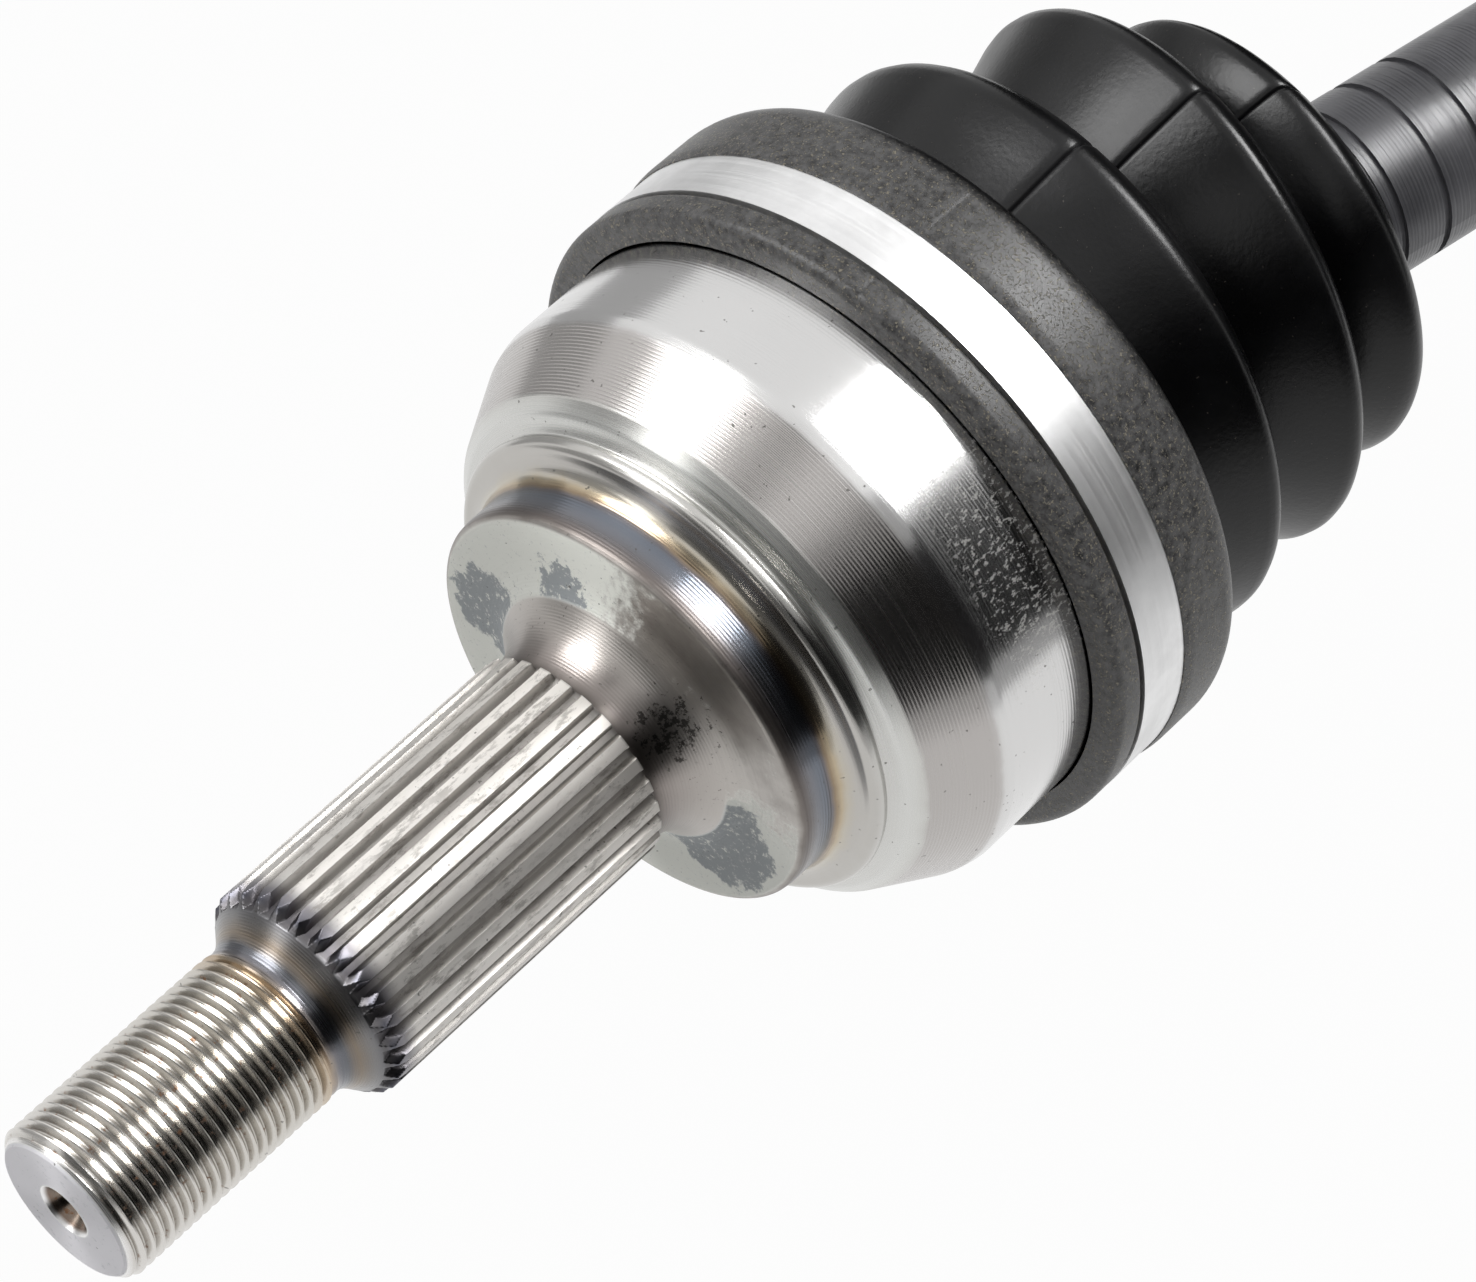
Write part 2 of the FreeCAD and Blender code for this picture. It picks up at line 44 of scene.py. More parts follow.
# The camera that fits the photograph: place in metres, axes in the row frame
CAMERA_AT = (0.26938, -0.28393, 0.53035)
CAMERA_RIGHT = (0.7501, 0.6613, 0.0)
CAMERA_UP = (-0.5271, 0.5980, 0.6040)
CAMERA_BACK = (0.3994, -0.4529, 0.7970)
LENS = 132.93                      # on a 36 mm wide sensor
TARGET = (0.0, 0.03, 0.0)          # the studio is laid out around this place

# Stub: radii, and stations along it
THREAD_R, THREAD_PITCH, THREAD_DEPTH, NECK_R = 11.0, 1.5, 0.86, 10.75
TIP_Y, TIP_R, THREAD_END = -93.7, 9.5, -59.5
TEETH, TOOTH_TIP, TOOTH_ROOT = 28, 14.9, 13.6
TEETH_END = -8.8                   # the teeth end where the fillet's foot starts
FILLET, FILLET_FOOT = 8.5, 13.95   # the fillet's own radius, and where it stands on the stub
THREAD_STEPS, TOOTH_STEPS, RACE_STEPS = 120, 22, 288

# Shoulder and bell
RIM_R, RIM_ROUND = 28.3, 0.9       # the shoulder's flat ends here, and its rounded edge
BELL_R, BELL_END, BELL_LIP_R = 42.8, 60.0, 41.8

# Boots
BOOT_WALL, BOOT_STEPS = 2.4, 168
BOOT_SHARP = 50.0                  # degrees
SEAM_ANGLE = 5.0                   # from +Z towards +X
SEAM_HALF_WIDTH = 0.6              # degrees
SEAM_DEPTH, SEAM_DEPTH_ON_COLLAR = 0.4, 0.12
BOOT_COLLAR_END = 17.0             # past the joint's centre
DUSTY_FROM, DUSTY_TO = 37.0, 58.0  # stations on the stub

# The hub boot's rings by millimetres past the joint's centre: its middle's way from the stub's axis, its rings' tilt
# in degrees, and their reach along the stub.
BEND_FROM, BEND_TO = 6.0, 70.0
BOOT_SHIFT = ((6, 0), (12, 0.05), (18, 0.3), (26, 0.9), (34, 1.8), (44, 3.6), (53, 5.6), (60, 7.7), (66, 9.9),
              (BEND_TO, BEND_TO * math.sin(REST)))
BOOT_TILT = ((6, 0), (12, 0.5), (18, 1.6), (26, 3.6), (34, 5.8), (44, 9.0), (53, 11.6), (60, 12.4), (66, 12.0),
             (BEND_TO, 10.6))
BOOT_REACH = ((-10, -10), (12, 12), (BEND_TO, BEND_TO * math.cos(REST)))

# The gearbox boot, by millimetres from the gearbox joint's centre. Its two pieces meet on its second crest.
BOX_SPLIT = -55.6
BOX_BEND_FROM, BOX_BEND_TO = -72.5, -32.5
BOX_SEAT_R, BOX_FIRST_FOLD, BOX_FOLDS, BOX_PITCH = 42.55, -36.0, 4, 13.0
BOX_CRESTS = (41.0, 28.75)         # the first and the last crest's radius

# Studio
FLOOR_HALF, FLOOR_Z = 6.0, -0.30
FLOOR_SHOWN = 0.96                 # share of plain white that the camera and reflections see on the floor
WORLD_LIGHT = 0.25
SOFTBOXES = (                      # azimuth, elevation, distance, width, height, radiance
    ("key", 60, 52, 1.1, 0.50, 0.36, 4.2),
    ("fill", -148, 47, 1.1, 0.42, 0.36, 4.8),
    ("near_camera", -57, 60, 1.3, 0.16, 0.30, 1.6))
CARDS = (                          # azimuths, elevations, distance, strength
    ("key_face", (44, 86), (43, 62), 0.98, 21.0),
    ("fill_face", (-172, -129), (35, 65), 0.98, 9.0),
    ("dark_right", (-62, 40), (-8, 42), 0.9, 0.008),
    ("dark_front", (-112, -62), (-26, 27), 0.9, 0.12),
    ("front_left", (-150, -122), (-30, 25), 0.92, 0.4),
    ("front_strip", (-128, -118), (6, 30), 0.91, 3.2),
    ("dark_top", (-62, 30), (42, 60), 0.9, 0.42),
    ("low_right", (-60, 12), (-34, -8), 0.93, 0.62),
    ("dark_back", (52, 128), (-34, 38), 0.92, 0.03),
    ("grey_low", (12, 52), (-28, -8), 0.95, 0.38),
    ("grey_lower", (12, 52), (-48, -28), 0.95, 0.62),
    ("grey_foot", (-62, 12), (-20, -8), 0.95, 0.7),
    ("grey_left", (140, 192), (-32, 14), 1.0, 0.45),
    ("grey_top", (-114, -74), (53, 80), 1.2, 0.2))
CARD_STEPS = 12

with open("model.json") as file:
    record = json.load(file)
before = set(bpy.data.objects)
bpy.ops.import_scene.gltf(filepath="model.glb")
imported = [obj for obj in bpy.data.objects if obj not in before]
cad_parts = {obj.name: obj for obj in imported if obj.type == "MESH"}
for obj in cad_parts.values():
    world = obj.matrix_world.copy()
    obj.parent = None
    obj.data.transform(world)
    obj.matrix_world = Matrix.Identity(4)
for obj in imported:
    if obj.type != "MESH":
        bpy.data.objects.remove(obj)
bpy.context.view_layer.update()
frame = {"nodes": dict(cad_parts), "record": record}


# Geometry

def smooth(x):
    """0 to 1 with flat ends."""
    x = min(max(x, 0.0), 1.0)
    return x * x * (3 - 2 * x)


def between(x, table):
    """Straight-line lookup in ((x, value), ...)."""
    for (x0, v0), (x1, v1) in zip(table, table[1:]):
        if x <= x1:
            return v0 + (v1 - v0) * max(0.0, (x - x0) / (x1 - x0))
    return table[-1][1]


def rounded(points, steps=5):
    """A profile with its corners cut to arcs: (radius, station, corner radius) in, (radius, station) out."""
    out = [points[0][:2]]
    for before, here, after in zip(points, points[1:], points[2:]):
        corner = Vector(here[:2])
        back, on = Vector(before[:2]) - corner, Vector(after[:2]) - corner
        size = min(here[2] if len(here) > 2 else 0.0, back.length / 2.01, on.length / 2.01)
        if size < 1e-6:
            out.append(tuple(corner))
            continue
        a, b = corner + back.normalized() * size, corner + on.normalized() * size
        for k in range(steps + 1):
            s = k / steps
            spot = a * (1 - s) ** 2 + corner * 2 * s * (1 - s) + b * s * s
            out.append(tuple(spot))
    out.append(points[-1][:2])
    return out


def on_stub(radius, station, angle):
    """A point about the stub's axis; the angle turns right-handed about +Y from +Z."""
    return Vector((radius * math.sin(angle), station, radius * math.cos(angle)))


def on_bar(radius, station, angle, bend=1.0):
    """A point about the bar's axis, station millimetres past the hub joint, with a share of the rest bend."""
    turn = REST * bend
    c, s = math.cos(turn), math.sin(turn)
    side = radius * math.sin(angle)
    return Vector((side * c + station * s, JOINT_Y + station * c - side * s, radius * math.cos(angle)))


def mesh_object(name, points, faces, sharp):
    """A mesh object in metres with smooth faces and sharp edges where they turn by more than sharp degrees."""
    mesh = bpy.data.meshes.new(name)
    mesh.from_pydata([p * MM for p in points], [], faces)
    bm = bmesh.new()
    bm.from_mesh(mesh)
    bmesh.ops.remove_doubles(bm, verts=bm.verts, dist=1e-6)
    bmesh.ops.dissolve_degenerate(bm, edges=bm.edges, dist=1e-7)
    bmesh.ops.recalc_face_normals(bm, faces=bm.faces)
    for face in bm.faces:
        face.smooth = True
    limit = math.radians(sharp)
    for edge in bm.edges:
        edge.smooth = not (len(edge.link_faces) == 2 and edge.calc_face_angle(0.0) > limit)
    bm.to_mesh(mesh)
    bm.free()
    obj = bpy.data.objects.new(name, mesh)
    bpy.context.scene.collection.objects.link(obj)
    return obj


class Shell:
    """Gathers rings of points into one mesh."""

    def __init__(self):
        self.points, self.faces = [], []

    def rings(self, rows, closed=True):
        """Joins each row of points to the next; closed joins each row's end to its start."""
        count, first = len(rows[0]), len(self.points)
        for row in rows:
            self.points.extend(row)
        for i in range(len(rows) - 1):
            for j in range(count if closed else count - 1):
                a, b = first + i * count + j, first + i * count + (j + 1) % count
                self.faces.append((a, b, b + count, a + count))
        return self

    def lathe(self, profile, where, count):
        """Turns a profile; where(radius, station, angle) places each point."""
        angles = [2 * math.pi * j / count for j in range(count)]
        return self.rings([[where(r, s, a) for a in angles] for r, s in profile])

    def done(self, name, sharp=32.0):
        """Makes the object."""
        return mesh_object(name, self.points, self.faces, sharp)


# Hub joint's outer race

def thread_rows():
    """Rows along the thread's helix, from the end face's rim to the neck."""
    depths = (0.0, 0.07, 0.0, 0.28, 0.62, 0.93, 1.0, 0.93, 0.62, 0.28)
    per_pitch = len(depths)
    rows = []
    total = int((THREAD_END - TIP_Y) / THREAD_PITCH * per_pitch) + per_pitch + 2
    for k in range(-per_pitch, total):
        row = []
        for j in range(THREAD_STEPS + 1):
            turn = j / THREAD_STEPS
            y = TIP_Y + THREAD_PITCH * (k / per_pitch + turn)
            y = min(max(y, TIP_Y), THREAD_END)
            fade = 1 - smooth((y - THREAD_END + 2.2) / 2.0)
            radius = THREAD_R - (THREAD_R - NECK_R) * (1 - fade) - THREAD_DEPTH * depths[k % per_pitch] * fade
            radius = min(radius, TIP_R + 1.05 * (y - TIP_Y))
            row.append(on_stub(radius, y, 2 * math.pi * turn))
        rows.append(row)
    return rows


def blank_radius(y):
    """The turned blank's radius under the teeth."""
    return between(y, ((THREAD_END, NECK_R), (-58.6, 10.95), (-57.7, 11.5), (-56.8, 12.3), (-55.9, 13.3),
                       (-55.0, 14.3), (-54.35, TOOTH_TIP), (-9.05, TOOTH_TIP), (TEETH_END, FILLET_FOOT)))


def tooth_height(share, y):
    """Height of a tooth, 0 to 1, at a share of its pitch; it comes to a point at the thread's end."""
    off = abs(share - 0.5)
    foot, flank_width, point_y, point_length, point_width = 0.345, 0.10, -54.6, 2.3, 0.34
    flank = min(max((foot - off) / flank_width, 0.0), 1.0)
    point = 1.0 + (y - point_y) / point_length - off / point_width
    return max(0.0, min(smooth(flank) * 0.2 + flank * 0.8, point))


def spline_rows():
    """Teeth cut into the blank: pointed at the thread's end, square above the fillet's foot at the other."""
    stations = [THREAD_END + 0.3 * k for k in range(12)]
    stations += [-55.9 + 0.11 * k for k in range(34)]
    stations += [-51.5, -48.0, -42.0, -36.0, -30.0, -24.0, -18.0, -13.0, -10.8]
    stations += [-10.0, -9.6, -9.3, -9.15, -9.05, -8.97, -8.88, TEETH_END, -FILLET]
    rows = []
    for y in stations:
        root = between(y, ((-9.8, TOOTH_ROOT), (TEETH_END, FILLET_FOOT)))
        row = []
        for k in range(TEETH * TOOTH_STEPS):
            height = tooth_height(k % TOOTH_STEPS / TOOTH_STEPS, y)
            radius = min(blank_radius(y), root + (TOOTH_TIP + 0.01 - TOOTH_ROOT) * height)
            row.append(on_stub(radius, y, 2 * math.pi * (k / TOOTH_STEPS + 0.5) / TEETH))
        rows.append(row)
    return rows


def race_profile():
    """Fillet, shoulder, seal land, steps, cone and bell."""
    points = []
    for k in range(13):
        a = math.pi / 2 * k / 12
        points.append((FILLET_FOOT + FILLET * (1 - math.cos(a)), -FILLET + FILLET * math.sin(a)))
    points += [(24.4, 0.0), (26.4, 0.0), (RIM_R, 0.0)]
    for k in range(1, 7):
        a = math.radians(90 * k / 6)
        points.append((RIM_R + RIM_ROUND * math.sin(a), RIM_ROUND - RIM_ROUND * math.cos(a)))
    points += rounded([(29.2, 0.9), (29.3, 1.6, 0.3), (29.3, 5.6, 0.5), (30.1, 7.3, 0.8), (31.6, 8.0, 0.8),
                       (33.2, 8.1, 0.5), (33.9, 8.6, 0.4), (34.1, 9.6, 0.4), (33.6, 10.3, 0.4), (34.6, 10.9, 0.5),
                       (36.0, 11.3, 0.5), (37.75, 12.75, 0.12), (42.35, 21.35, 0.25), (BELL_R, 23.0, 0.5),
                       (BELL_R, BELL_END - 1, 0.3), (BELL_LIP_R, BELL_END)])[1:]
    return points


def outer_radius(y):
    """The bell's outside, for telling its inside faces apart."""
    return between(y, ((0.0, 27.0), (6.0, 29.3), (12.8, 37.8), (21.4, 42.4), (22.9, BELL_R), (BELL_END, BELL_R)))


def hub_race():
    """The whole forging: own outside, and the CAD node's inside."""
    shell = Shell()
    centre = [(0.001, TIP_Y + 9.0), (1.6, TIP_Y + 7.4), (1.6, TIP_Y + 3.5), (3.3, TIP_Y + 0.5), (3.7, TIP_Y),
              (6.0, TIP_Y), (TIP_R, TIP_Y)]
    shell.lathe(centre, on_stub, THREAD_STEPS)
    shell.rings(thread_rows(), closed=False)
    shell.rings(spline_rows())
    shell.lathe(race_profile(), on_stub, RACE_STEPS)
    obj = shell.done("hub_race", 28.0)
    inside = bmesh.new()
    inside.from_mesh(frame["nodes"]["outer_race"].data)
    far = [f for f in inside.faces if not inner_face(f.calc_center_median())]
    bmesh.ops.delete(inside, geom=far, context="FACES")
    for face in inside.faces:
        face.smooth = True
        face.material_index = 1
    whole = bmesh.new()
    whole.from_mesh(obj.data)
    extra = bpy.data.meshes.new("inside")
    inside.to_mesh(extra)
    inside.free()
    whole.from_mesh(extra)
    whole.to_mesh(obj.data)
    whole.free()
    bpy.data.meshes.remove(extra)
    return obj


def inner_face(centre):
    """True for the middle of a face inside the bell or on its rim."""
    y, radius = centre.y / MM, math.hypot(centre.x, centre.z) / MM
    return y > BELL_END - 0.1 and radius < BELL_LIP_R or 11.0 < y and radius < outer_radius(y) - 0.5


# Boots

HUB_BOOT = rounded([
    (42.85, -7.6), (46.2, -7.6, 0.8), (47.2, -6.7, 0.6), (47.2, -3.4, 0.4), (46.05, -2.9, 0.2), (46.05, 5.45, 0.1),
    (47.25, 5.45, 0.1), (47.25, 4.8, 0.1), (47.4, 4.8, 0.1), (47.7, 6.2, 0.5), (47.7, 13.8, 1.6), (46.6, 16.2, 1.2),
    (43.4, 17.0, 1.0), (40.4, 17.3, 1.5),
    (37.4, 18.4, 1.6), (37.0, 20.6, 1.6), (38.6, 25.5, 3.0), (42.0, 33.7, 4.0), (38.6, 37.0, 1.6),
    (34.6, 37.3, 2.0), (30.6, 38.0, 1.7), (30.4, 40.2, 1.8), (33.2, 45.0, 3.2), (38.7, 53.6, 3.8),
    (35.4, 56.6, 1.5), (31.0, 57.0, 2.0), (26.4, 57.6, 1.6), (26.3, 59.4, 1.4), (29.0, 62.4, 2.2),
    (31.9, 66.6, 2.6), (28.6, 69.0, 1.2), (22.0, 69.5, 2.0), (16.2, 69.8, 1.2), (15.4, 70.6, 0.8),
    (15.4, 73.6, 0.4), (16.4, 74.2, 0.5), (16.4, 76.0, 0.5), (12.8, 76.0)], 4)


def seam_angles():
    """Even angles with close ones added at the moulding seam."""
    angles = [2 * math.pi * k / BOOT_STEPS for k in range(BOOT_STEPS)]
    near = [math.radians(SEAM_ANGLE + d) for d in (-0.8, -0.35, 0.0, 0.35, 0.8)]
    gap = math.pi / BOOT_STEPS
    return sorted([a for a in angles if all(abs(a - n) > gap / 2 for n in near)] + near)


def bellows(name, profile, where):
    """A boot with both skins, and a fine groove along its moulding seam that is fainter on the collar."""
    angles = seam_angles()
    line = math.radians(SEAM_ANGLE)

    def row(radius, station, groove):
        out = []
        for a in angles:
            depth = groove * max(0.0, 1 - abs(a - line) / math.radians(SEAM_HALF_WIDTH))
            out.append(where(radius - depth, station, a))
        return out
    outside = [row(r, s, SEAM_DEPTH if s > BOOT_COLLAR_END else SEAM_DEPTH_ON_COLLAR) for r, s in profile]
    floor = profile[0][0] if profile[0][0] < profile[-1][0] else profile[-1][0]
    inside = [row(max(r - BOOT_WALL, floor), s, 0.0) for r, s in profile[1:-1]]
    shell = Shell()
    shell.rings(outside + inside[::-1] + outside[:1])
    return shell.done(name, BOOT_SHARP)


def hub_boot_place(radius, station, angle):
    """A point on the hub boot, whose rings shift and tilt along the rest bend until they sit square on the bar."""
    if station > BEND_TO:
        return on_bar(radius, station, angle)
    middle = between(station, BOOT_SHIFT)
    tilt = math.radians(between(station, BOOT_TILT))
    side = radius * math.sin(angle)
    return Vector((middle + side * math.cos(tilt), JOINT_Y + between(station, BOOT_REACH) - side * math.sin(tilt),
                   radius * math.cos(angle)))


def box_boot_profile():
    """The gearbox boot, from its lip on the adapter to its small end."""
    points = [(BOX_SEAT_R, -14.0), (46.1, -14.0, 0.5), (46.1, -16.4, 0.4), (45.15, -17.1, 0.2), (45.15, -25.1, 0.2),
              (46.1, -25.9, 0.4), (46.1, -31.0, 0.9), (44.0, -33.4, 1.0)]
    first, last = BOX_CRESTS
    for k in range(BOX_FOLDS):
        crest = first - (first - last) * k / (BOX_FOLDS - 1)
        top = BOX_FIRST_FOLD - BOX_PITCH * k
        points += [(crest - 6.8, top + 0.3, 1.6), (crest - 6.2, top - 1.4, 1.2), (crest - 1.2, top - 5.0, 1.8),
                   (crest, top - 6.6, 1.5), (crest - 1.2, top - 8.4, 1.8)]
    end = BOX_FIRST_FOLD - BOX_PITCH * BOX_FOLDS
    points += [(16.6, end + 0.6, 1.5), (15.3, end - 0.8, 1.0), (15.3, end - 12.0, 0.3), (16.3, end - 12.8, 0.4),
               (16.3, end - 14.0, 0.4), (12.8, end - 14.0)]
    return rounded(points, 4)


def box_boot_place(radius, station, angle):
    """A point on the gearbox boot, station millimetres from the gearbox joint's centre along the bar."""
    return on_bar(radius, SPAN + station, angle)


# Shading

def graph(name):
    """A new material, its node tree and its shader."""
    material = bpy.data.materials.new(name)
    material.use_nodes = True
    return material, material.node_tree, material.node_tree.nodes["Principled BSDF"]


def put(tree, socket, value):
    """Links a socket, or sets a plain value."""
    if isinstance(value, bpy.types.NodeSocket):
        tree.links.new(value, socket)
    else:
        socket.default_value = value


def node(tree, kind, *inputs, **settings):
    """Adds a node; inputs fill its sockets in order, and None leaves one as it is."""
    made = tree.nodes.new("ShaderNode" + kind)
    for key, value in settings.items():
        setattr(made, key, value)
    for socket, value in zip(made.inputs, inputs):
        if value is not None:
            put(tree, socket, value)
    return made


def maths(tree, operation, *inputs, clamp=False):
    """Adds a Math node."""
    return node(tree, "Math", *inputs, operation=operation, use_clamp=clamp).outputs[0]


def times(tree, a, b):
    """Multiplies two numbers."""
    return maths(tree, "MULTIPLY", a, b)


def mix(tree, factor, a, b):
    """Mixes two colours."""
    made = tree.nodes.new("ShaderNodeMix")
    made.data_type = "RGBA"
    put(tree, made.inputs[0], factor)
    put(tree, made.inputs[6], a)
    put(tree, made.inputs[7], b)
    return made.outputs[2]


def over(tree, colour, cover, top, share=1.0):
    """Lays the top colour on, by that share, where cover is 1."""
    return mix(tree, cover if share == 1.0 else times(tree, cover, share), colour, (*top, 1))


def blend_number(tree, factor, a, b):
    """Mixes two numbers."""
    made = tree.nodes.new("ShaderNodeMix")
    made.data_type = "FLOAT"
    put(tree, made.inputs[0], factor)
    put(tree, made.inputs[2], a)
    put(tree, made.inputs[3], b)
    return made.outputs[0]


def rise(tree, value, low, high, to_low=0.0, to_high=1.0):
    """Maps value from low..high to the other two with flat ends."""
    made = node(tree, "MapRange", value, low, high, to_low, to_high)
    made.interpolation_type = "SMOOTHSTEP"
    return made.outputs[0]


def window(tree, value, low, high, soft):
    """1 between low and high, falling to 0 over soft outside."""
    up = rise(tree, value, low - soft, low)
    down = rise(tree, value, high, high + soft, 1.0, 0.0)
    return times(tree, up, down)


def noise(tree, vector, scale, detail=3.0, rough=0.55, kind="3D"):
    """A noise texture's height, about 0.5."""
    made = tree.nodes.new("ShaderNodeTexNoise")
    made.noise_dimensions = kind
    put(tree, made.inputs["W" if kind == "1D" else "Vector"], vector)
    made.inputs["Scale"].default_value = scale
    made.inputs["Detail"].default_value = detail
    made.inputs["Roughness"].default_value = rough
    return made.outputs[0]


def ramp(tree, where, stops):
    """A colour ramp over RAMP_FROM..RAMP_TO, which where maps to 0..1; stops are (station, colour)."""
    made = node(tree, "ValToRGB", where)
    elements = made.color_ramp.elements
    while len(elements) < len(stops):
        elements.new(0.5)
    for element, (station, colour) in zip(elements, stops):
        element.position = (station - RAMP_FROM) / (RAMP_TO - RAMP_FROM)
        element.color = (*colour, 1.0)
    return made.outputs[0]


def row_coordinates(tree, bar=False):
    """(vector, station, radius, angle) in millimetres about the stub or the bar, the angle from +X towards +Z."""
    vector = node(tree, "TexCoord").outputs["Object"]
    if bar:
        made = node(tree, "Mapping", vector, vector_type="TEXTURE")
        made.inputs["Location"].default_value = (0, JOINT_Y * MM, 0)
        made.inputs["Rotation"].default_value = (0, 0, -REST)
        vector = made.outputs[0]
    scaled = node(tree, "VectorMath", vector, (1000, 1000, 1000), operation="MULTIPLY").outputs[0]
    x, y, z = node(tree, "SeparateXYZ", scaled).outputs
    squares = maths(tree, "ADD", times(tree, x, x), times(tree, z, z))
    return scaled, y, maths(tree, "SQRT", squares), maths(tree, "ARCTAN2", z, x)


def bump(tree, shader, height, distance):
    """Gives the shader a relief of height times distance millimetres."""
    made = tree.nodes.new("ShaderNodeBump")
    made.inputs["Strength"].default_value = 1.0
    made.inputs["Distance"].default_value = distance * MM
    put(tree, made.inputs["Height"], height)
    put(tree, shader.inputs["Normal"], made.outputs[0])


def along_profile(tree, station, radius):
    """A number that grows along the axis and outwards, so that it rings flats as well as cylinders."""
    return maths(tree, "ADD", station, times(tree, radius, 0.7))


def ring_marks(tree, station, radius, pitch):
    """Fine turning marks that run round the part."""
    along = along_profile(tree, station, radius)
    fine = noise(tree, along, 1.0 / pitch, 2.0, 0.6, "1D")
    broad = noise(tree, along, 0.25 / pitch, 2.0, 0.5, "1D")
    return maths(tree, "ADD", fine, times(tree, broad, 0.6))


def patch(tree, vector, centre, size, ragged, scale):
    """1 inside a rough-edged blotch about a place in millimetres."""
    far = node(tree, "VectorMath", vector, centre, operation="DISTANCE").outputs["Value"]
    rough = times(tree, maths(tree, "SUBTRACT", noise(tree, vector, scale, 6.0, 0.7), 0.5), ragged)
    return rise(tree, maths(tree, "ADD", maths(tree, "SUBTRACT", size, far), rough), -0.5, 0.5)


def brushed(tree, shader, amount):
    """Stretches highlights along the axis, across the turning marks."""
    shader.inputs["Anisotropic"].default_value = amount
    shader.inputs["Anisotropic Rotation"].default_value = 0.25
    tangent = node(tree, "Tangent", direction_type="RADIAL", axis="Y")
    put(tree, shader.inputs["Tangent"], tangent.outputs[0])


def steel(name, colour, roughness, marks=0.28, depth=0.012, anisotropy=0.5, bar=False):
    """Plain turned steel with rings, faint blotches and an axial streak in its gloss."""
    material, tree, shader = graph(name)
    vector, station, radius, _ = row_coordinates(tree, bar)
    blotch = noise(tree, vector, 0.12, 4.0, 0.6)
    rings = ring_marks(tree, station, radius, marks)
    dull = mix(tree, rise(tree, blotch, 0.35, 0.7), (*(c * 0.86 for c in colour), 1), (*colour, 1))
    put(tree, shader.inputs["Base Color"], dull)
    gloss = rise(tree, rings, 0.5, 1.1)
    put(tree, shader.inputs["Roughness"], blend_number(tree, gloss, roughness * 0.85, roughness * 1.2))
    shader.inputs["Metallic"].default_value = 1.0
    brushed(tree, shader, anisotropy)
    bump(tree, shader, rings, depth)
    return material


RAMP_FROM, RAMP_TO = -94.0, 62.0
RACE_TINT = (                      # the forging's colour by station
    # The first stop, near white on the tip's end face, is a painted reflection of the white floor.
    (-94.0, (0.95, 0.95, 0.97)), (-92.9, (0.66, 0.64, 0.61)), (-64.0, (0.60, 0.575, 0.53)),
    (-61.2, (0.50, 0.40, 0.29)), (-60.2, (0.20, 0.19, 0.20)), (-58.8, (0.13, 0.14, 0.16)),
    (-57.6, (0.22, 0.18, 0.14)), (-56.0, (0.20, 0.20, 0.205)), (-54.4, (0.11, 0.11, 0.13)),
    (-52.6, (0.24, 0.23, 0.245)), (-50.5, (0.74, 0.715, 0.68)), (-9.3, (0.72, 0.69, 0.65)),
    (-8.8, (0.13, 0.115, 0.105)), (-7.2, (0.28, 0.25, 0.235)), (-1.0, (0.44, 0.415, 0.39)),
    (0.3, (0.44, 0.42, 0.395)), (0.5, (0.13, 0.11, 0.10)), (1.5, (0.16, 0.145, 0.14)), (3.0, (0.19, 0.195, 0.215)),
    (4.6, (0.165, 0.185, 0.22)), (5.7, (0.17, 0.145, 0.14)), (6.2, (0.42, 0.31, 0.17)), (6.9, (0.50, 0.46, 0.38)),
    (7.8, (0.47, 0.455, 0.43)), (11.4, (0.62, 0.62, 0.60)), (12.5, (0.60, 0.60, 0.575)), (13.1, (0.45, 0.43, 0.415)),
    (21.0, (0.46, 0.44, 0.425)), (21.9, (0.66, 0.655, 0.65)), (62.0, (0.66, 0.655, 0.65)))
RACE_ROUGHNESS = (                 # by station
    (-94.0, 0.34), (-92.0, 0.20), (-61.0, 0.20), (-59.0, 0.28), (-54.0, 0.30), (-51.0, 0.50), (-9.3, 0.50),
    (-8.6, 0.30), (-0.5, 0.36), (0.8, 0.42), (2.4, 0.23), (5.6, 0.21), (8.0, 0.22), (11.0, 0.28), (13.2, 0.25),
    (21.0, 0.24), (22.0, 0.20), (62.0, 0.18))
RACE_RINGS = (                     # turned rings: from and to a station, soft edge, pitch, height
    (12.9, 21.3, 0.1, 0.56, 1.5), (-7.0, 6.0, 1.0, 0.48, 0.55), (23.0, 60.0, 0.5, 0.50, 0.22),
    (-59.5, -55.2, 0.3, 0.45, 0.5))
SLATE = (                          # blotches on the shoulder's face: place, size, raggedness and noise scale
    ((-20.5, 0, 2.0), 6.8, 12.0, 0.3), ((15.0, 0, -10.5), 9.5, 12.0, 0.25), ((-8.3, 0, 17.5), 3.6, 14.0, 0.6))
BRIGHT_SIDE, DUSTY_SIDE = 42, 51   # degrees from +X towards +Z, and the phase of a sine


def tooth_smudge(tree, vector, y):
    """Smudges drawn along the teeth."""
    along = node(tree, "VectorMath", vector, (1.0, 0.3, 1.0), operation="MULTIPLY").outputs[0]
    smudge = rise(tree, noise(tree, along, 0.9, 6.0, 0.72), 0.50, 0.62)
    smudge = times(tree, smudge, rise(tree, noise(tree, vector, 0.12, 3.0, 0.6), 0.40, 0.58, 0.35, 1.0))
    return times(tree, smudge, window(tree, y, -52, -10, 1.0))


